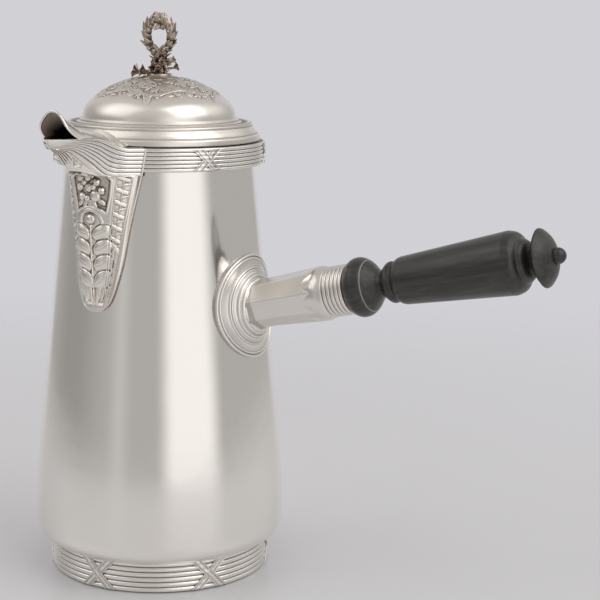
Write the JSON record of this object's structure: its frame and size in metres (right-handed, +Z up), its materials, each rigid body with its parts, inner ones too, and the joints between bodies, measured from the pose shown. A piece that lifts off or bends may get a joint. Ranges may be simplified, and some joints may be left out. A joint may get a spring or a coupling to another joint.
{
  "type": "coffee pot",
  "caption": "Tapered silver coffee pot with reeded foot and rim, beak spout with a pendant apron, hinged domed lid with a laurel finial, and a turned dark wood side handle.",
  "frame": {"origin": "centre of the foot, on the body's axis, at the surface the pot stands on", "axes": "+Z up along the body's axis, -Y along the spout, +X along the handle, +Y at the lid's hinge"},
  "size_m": [0.2337, 0.1306, 0.2352],
  "materials": {
    "polished_silver": "polished, with faint wear and a warm tone in the recesses",
    "chased_silver": "chased relief with dark tarnish in the hollows",
    "oxidised_silver": "cast silver, darkened by tarnish",
    "ebony": "turned dark wood with a soft wax sheen"
  },
  "bodies": {
    "pot": {"body_shell": "polished_silver", "bottom_plate": "polished_silver", "foot_band": "polished_silver", "foot_ribbons": "polished_silver", "rim_band": "polished_silver", "rim_ribbons": "polished_silver", "spout_beak": "polished_silver", "spout_reeds": "polished_silver", "spout_apron": "chased_silver", "handle_plate": "polished_silver", "handle_socket": "polished_silver", "handle_ferrule": "polished_silver", "wood_handle": "ebony", "handle_cross_pin": "polished_silver", "hinge_body_leaf": "polished_silver", "hinge_pin": "polished_silver"},
    "lid": {"hinge_lid_leaf": "polished_silver", "lid_cover": "polished_silver", "lid_bezel": "polished_silver", "lid_hood": "polished_silver", "finial_boss": "oxidised_silver", "finial_stem": "oxidised_silver", "finial_sprays": "oxidised_silver", "laurel_wreath": "oxidised_silver", "finial_screw": "polished_silver", "finial_nut": "polished_silver"}
  },
  "joints": [
    {"name": "lid_hinge", "type": "hinge", "parent": "pot", "child": "lid", "pos_m": [0, 0.0464, 0.1844], "axis": [-1, 0, 0], "range_deg": [0, 105]}
  ]
}
